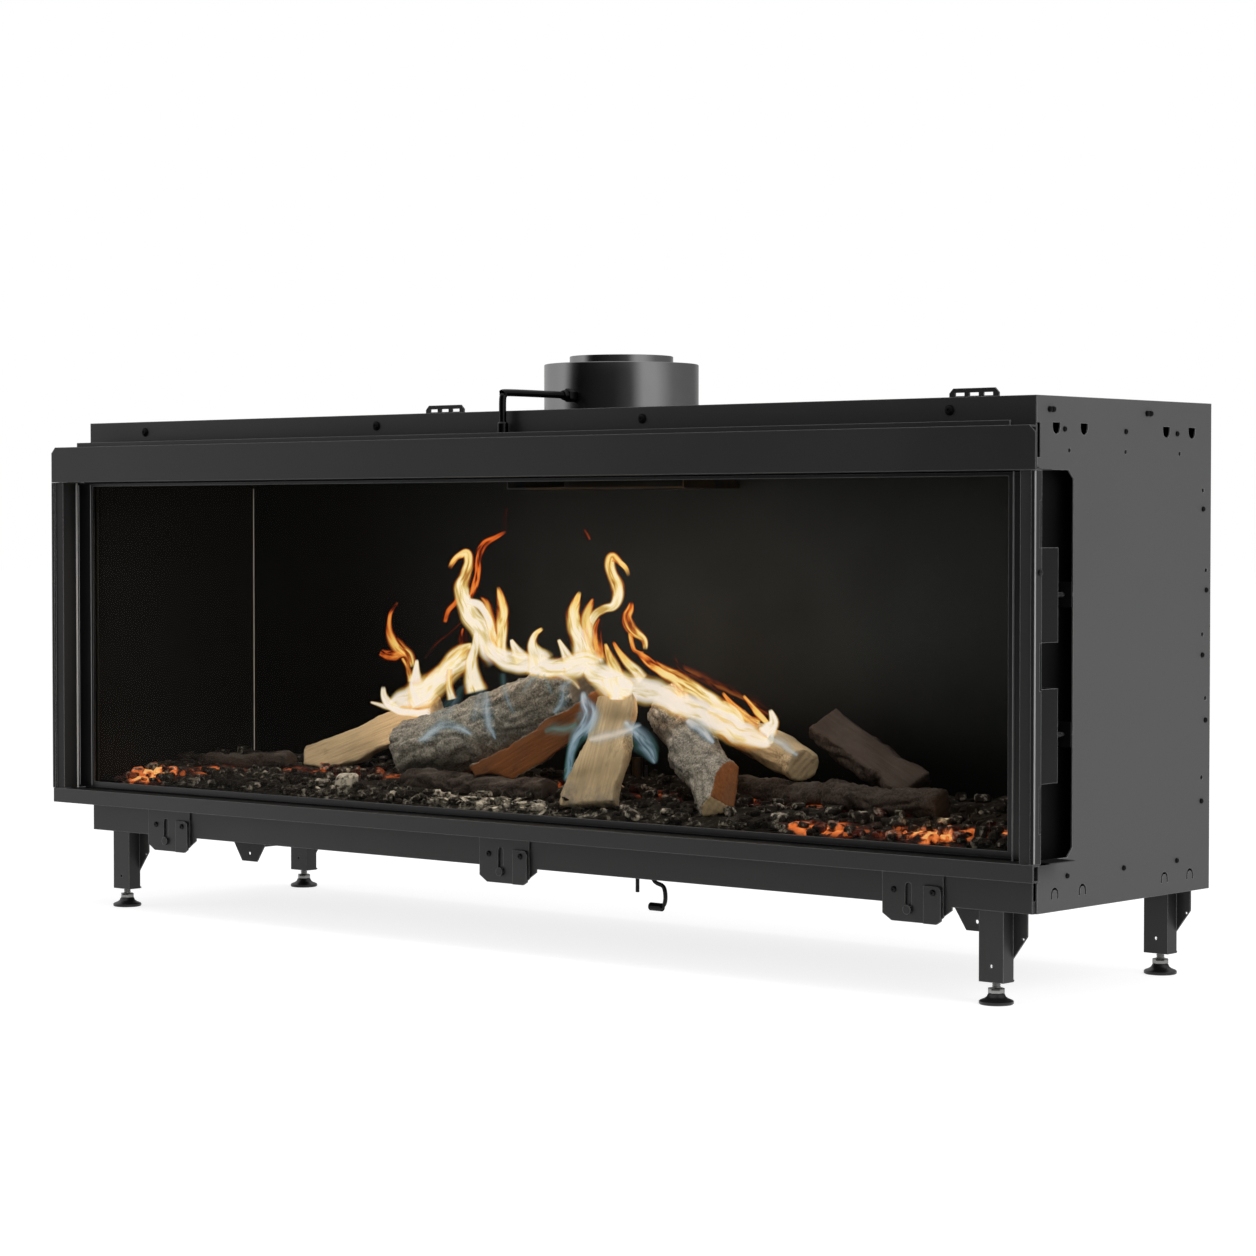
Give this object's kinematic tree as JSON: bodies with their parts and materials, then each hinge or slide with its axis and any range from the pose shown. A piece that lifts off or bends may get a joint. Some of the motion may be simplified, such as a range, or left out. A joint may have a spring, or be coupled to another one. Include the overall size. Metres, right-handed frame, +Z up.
{
  "type": "built-in gas fireplace",
  "caption": "Wide black built-in gas fire: steel casing on levelling feet, glazed firebox with a ceramic log set, adjustable front frame and concentric flue collar.",
  "frame": {"origin": "on the floor under the middle of the appliance's outer box", "axes": "+X to the viewer's right, +Y from the glass to the back, +Z up"},
  "size_m": [1.65, 0.416, 0.7496],
  "materials": {
    "satin_black_steel": "satin",
    "side_sheet_steel": "satin",
    "matt_black_firebox": "matte",
    "flue_enamel": "gloss",
    "black_fastener": "satin",
    "zinc_plated": "polished",
    "burner_steel": "matte",
    "clear_ceramic_glass": "polished",
    "glass_fibre_rope": "matte",
    "charcoal_bed": "matte",
    "pale_split_wood": "matte",
    "brown_split_wood": "matte",
    "ash_grey_bark": "matte",
    "dark_burnt_bark": "matte"
  },
  "bodies": {
    "casing": {"casing_base": "satin_black_steel", "casing_top": "satin_black_steel", "casing_back": "satin_black_steel", "casing_side_left": "side_sheet_steel", "casing_side_right": "side_sheet_steel", "casing_front_band": "satin_black_steel", "lower_front_panel": "satin_black_steel", "firebox_wall_left": "matt_black_firebox", "firebox_wall_right": "matt_black_firebox", "firebox_back": "matt_black_firebox", "firebox_floor": "matt_black_firebox", "firebox_roof": "matt_black_firebox", "flue_restrictor": "burner_steel", "glass_seal": "glass_fibre_rope", "flue_outer_collar": "flue_enamel", "flue_inner_pipe": "flue_enamel", "test_tube": "black_fastener", "wall_bracket_left": "satin_black_steel", "wall_bracket_right": "satin_black_steel", "leg_front_left": "satin_black_steel", "leg_front_right": "satin_black_steel", "leg_rear_left": "satin_black_steel", "leg_rear_right": "satin_black_steel", "base_rail_left": "satin_black_steel", "base_rail_right": "satin_black_steel", "burner_tray": "burner_steel", "main_burner": "burner_steel", "gas_supply_pipe": "black_fastener", "pilot_pipe": "black_fastener", "pilot_burner": "burner_steel", "ember_bed": "charcoal_bed", "log_front_low": "dark_burnt_bark", "log_back_low": "dark_burnt_bark", "log_right_flat": "dark_burnt_bark", "log_left_twig": "ash_grey_bark", "log_left_split": "pale_split_wood", "log_centre_bark": "ash_grey_bark", "log_brown_split": "brown_split_wood", "log_right_bark": "ash_grey_bark", "log_pale_plank": "pale_split_wood", "log_rear_short": "pale_split_wood", "log_right_slant": "dark_burnt_bark"},
    "glass": {"glass_pane": "clear_ceramic_glass", "glass_frame": "satin_black_steel"},
    "front_frame": {"frame_top_panel": "satin_black_steel", "frame_bottom_strip": "satin_black_steel", "frame_side_left": "satin_black_steel", "frame_side_right": "satin_black_steel"},
    "foot_front_left": {"foot_front_left": "zinc_plated"},
    "foot_front_right": {"foot_front_right": "zinc_plated"},
    "foot_rear_left": {"foot_rear_left": "zinc_plated"},
    "foot_rear_right": {"foot_rear_right": "zinc_plated"},
    "hanger_left": {"hanger_plate_left": "satin_black_steel", "hanger_latch_left": "satin_black_steel"},
    "hanger_centre": {"hanger_plate_centre": "satin_black_steel", "hanger_latch_centre": "satin_black_steel"},
    "hanger_right": {"hanger_plate_right": "satin_black_steel", "hanger_latch_right": "satin_black_steel"}
  },
  "joints": [
    {"name": "glass_lift_out", "type": "slide", "parent": "casing", "child": "glass", "axis": [0, -1, 0], "range_m": [0, 0.11]},
    {"name": "frame_depth", "type": "slide", "parent": "casing", "child": "front_frame", "axis": [0, 1, 0], "range_m": [-0.012, 0.005]},
    {"name": "foot_front_left_screw", "type": "slide", "parent": "casing", "child": "foot_front_left", "axis": [0, 0, -1], "range_m": [-0.006, 0.03]},
    {"name": "foot_front_right_screw", "type": "slide", "parent": "casing", "child": "foot_front_right", "axis": [0, 0, -1], "range_m": [-0.006, 0.03]},
    {"name": "foot_rear_left_screw", "type": "slide", "parent": "casing", "child": "foot_rear_left", "axis": [0, 0, -1], "range_m": [-0.006, 0.03]},
    {"name": "foot_rear_right_screw", "type": "slide", "parent": "casing", "child": "foot_rear_right", "axis": [0, 0, -1], "range_m": [-0.006, 0.03]},
    {"name": "hanger_left_height", "type": "slide", "parent": "casing", "child": "hanger_left", "axis": [0, 0, -1], "range_m": [0, 0.025]},
    {"name": "hanger_centre_height", "type": "slide", "parent": "casing", "child": "hanger_centre", "axis": [0, 0, -1], "range_m": [0, 0.025]},
    {"name": "hanger_right_height", "type": "slide", "parent": "casing", "child": "hanger_right", "axis": [0, 0, -1], "range_m": [0, 0.025]}
  ]
}
